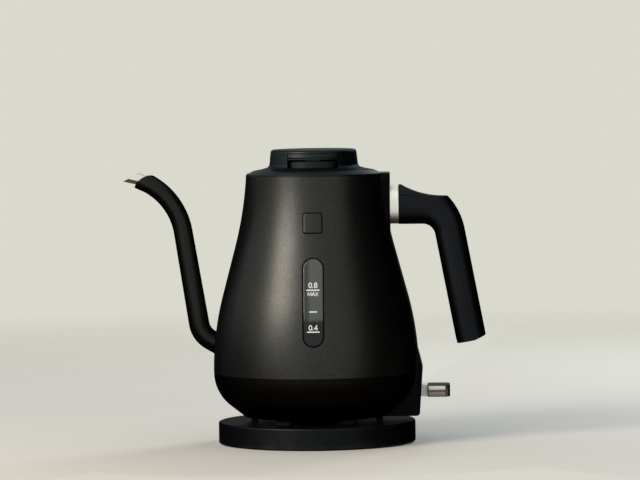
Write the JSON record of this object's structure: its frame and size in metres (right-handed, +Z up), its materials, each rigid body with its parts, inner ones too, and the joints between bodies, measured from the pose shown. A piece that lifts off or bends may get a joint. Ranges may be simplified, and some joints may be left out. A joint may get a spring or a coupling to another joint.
{
  "type": "electric kettle",
  "caption": "Gooseneck electric kettle with a hanging handle, front water window, lift-off lid and rear power lever, on a round power base.",
  "frame": {"origin": "centre of the kettle's footprint box on the table; the kettle's own axis stands at x = 7.90 mm", "axes": "+Z up, +X towards the handle, -X towards the spout, -Y towards the side with the water window"},
  "size_m": [0.271, 0.1542, 0.2207],
  "materials": {
    "body_paint": "fine satin metallic black paint",
    "base_plastic": "fine moulded grain",
    "bowl_plastic": "matt black",
    "black_plastic": "matt",
    "black_rubber": "matt",
    "zinc_screw": "plated",
    "brass_contact": "bright",
    "control_plastic": "matt, heat proof",
    "heater_aluminium": "rolled",
    "element_steel": "dull",
    "vessel_steel": "satin",
    "lid_plastic": "fine moulded grain",
    "sleeve_plastic": "matt",
    "polished_steel": "polished",
    "silicone": "soft",
    "window_clear": "clear, smoke tinted",
    "badge_plastic": "satin, bare",
    "bimetal": "bright",
    "ferrule_steel": "fine turned",
    "handle_plastic": "soft matt",
    "stem_white": "gloss",
    "paddle_silver": "satin plated"
  },
  "bodies": {
    "base": {"base_housing": "base_plastic", "base_bottom_plate": "black_plastic", "base_feet": "black_rubber", "base_screws": "zinc_screw", "base_connector": "black_plastic", "base_contacts": "brass_contact", "cord_grommet": "black_rubber", "cord_clamp": "black_plastic", "cord_clamp_screws": "zinc_screw"},
    "shroud": {"connector_shroud": "black_plastic"},
    "kettle": {"lower_bowl": "bowl_plastic", "kettle_feet": "black_rubber", "bottom_screws": "zinc_screw", "kettle_connector": "black_plastic", "connector_terminals": "brass_contact", "thermal_control": "control_plastic", "heater_plate": "heater_aluminium", "heating_element": "element_steel", "inner_vessel": "vessel_steel", "body_shell": "body_paint", "collar_ring": "lid_plastic", "spout_sleeve": "sleeve_plastic", "spout_tube": "polished_steel", "spout_gasket": "silicone", "window_frame": "black_plastic", "window_gasket": "silicone", "window_lens": "window_clear", "badge": "badge_plastic", "switch_housing": "bowl_plastic", "switch_body": "control_plastic", "bimetal_disc": "bimetal", "steam_tube": "control_plastic", "steam_gasket": "silicone", "handle_bracket": "black_plastic", "ferrule": "ferrule_steel", "handle_strap": "vessel_steel", "handle_screws": "zinc_screw", "grip_shell": "handle_plastic", "back_cover": "handle_plastic", "handle_end_cap": "handle_plastic", "lever_pin": "zinc_screw"},
    "lid": {"lid_cap": "lid_plastic", "lid_base": "black_plastic", "lid_gasket": "silicone", "lid_screws": "zinc_screw", "lid_spring_front": "zinc_screw", "lid_spring_rear": "zinc_screw"},
    "front_lever": {"lid_lever_front": "lid_plastic"},
    "rear_lever": {"lid_lever_rear": "lid_plastic"},
    "power_lever": {"lever_stem": "stem_white", "lever_paddle": "paddle_silver"}
  },
  "joints": [
    {"name": "base_swivel", "type": "hinge", "parent": "base", "child": "shroud", "pos_m": [0.0079, 0, 0], "axis": [0, 0, 1], "continuous": true},
    {"name": "kettle_lift", "type": "slide", "parent": "shroud", "child": "kettle", "axis": [0, 0, 1], "range_m": [0, 0.06]},
    {"name": "lid_lift", "type": "slide", "parent": "kettle", "child": "lid", "axis": [0, 0, 1], "range_m": [0, 0.06]},
    {"name": "front_lever_press", "type": "slide", "parent": "lid", "child": "front_lever", "axis": [0, 1, 0], "range_m": [0, 0.003], "stiffness_N_per_m": 400, "springref_m": -0.004, "deforming": ["lid_spring_front"]},
    {"name": "rear_lever_press", "type": "slide", "parent": "lid", "child": "rear_lever", "axis": [0, -1, 0], "range_m": [0, 0.003], "stiffness_N_per_m": 400, "springref_m": -0.004, "deforming": ["lid_spring_rear"]},
    {"name": "power_lever_press", "type": "hinge", "parent": "kettle", "child": "power_lever", "pos_m": [0.0779, 0, 0.0394], "axis": [0, 1, 0], "range_deg": [0, 12]}
  ]
}
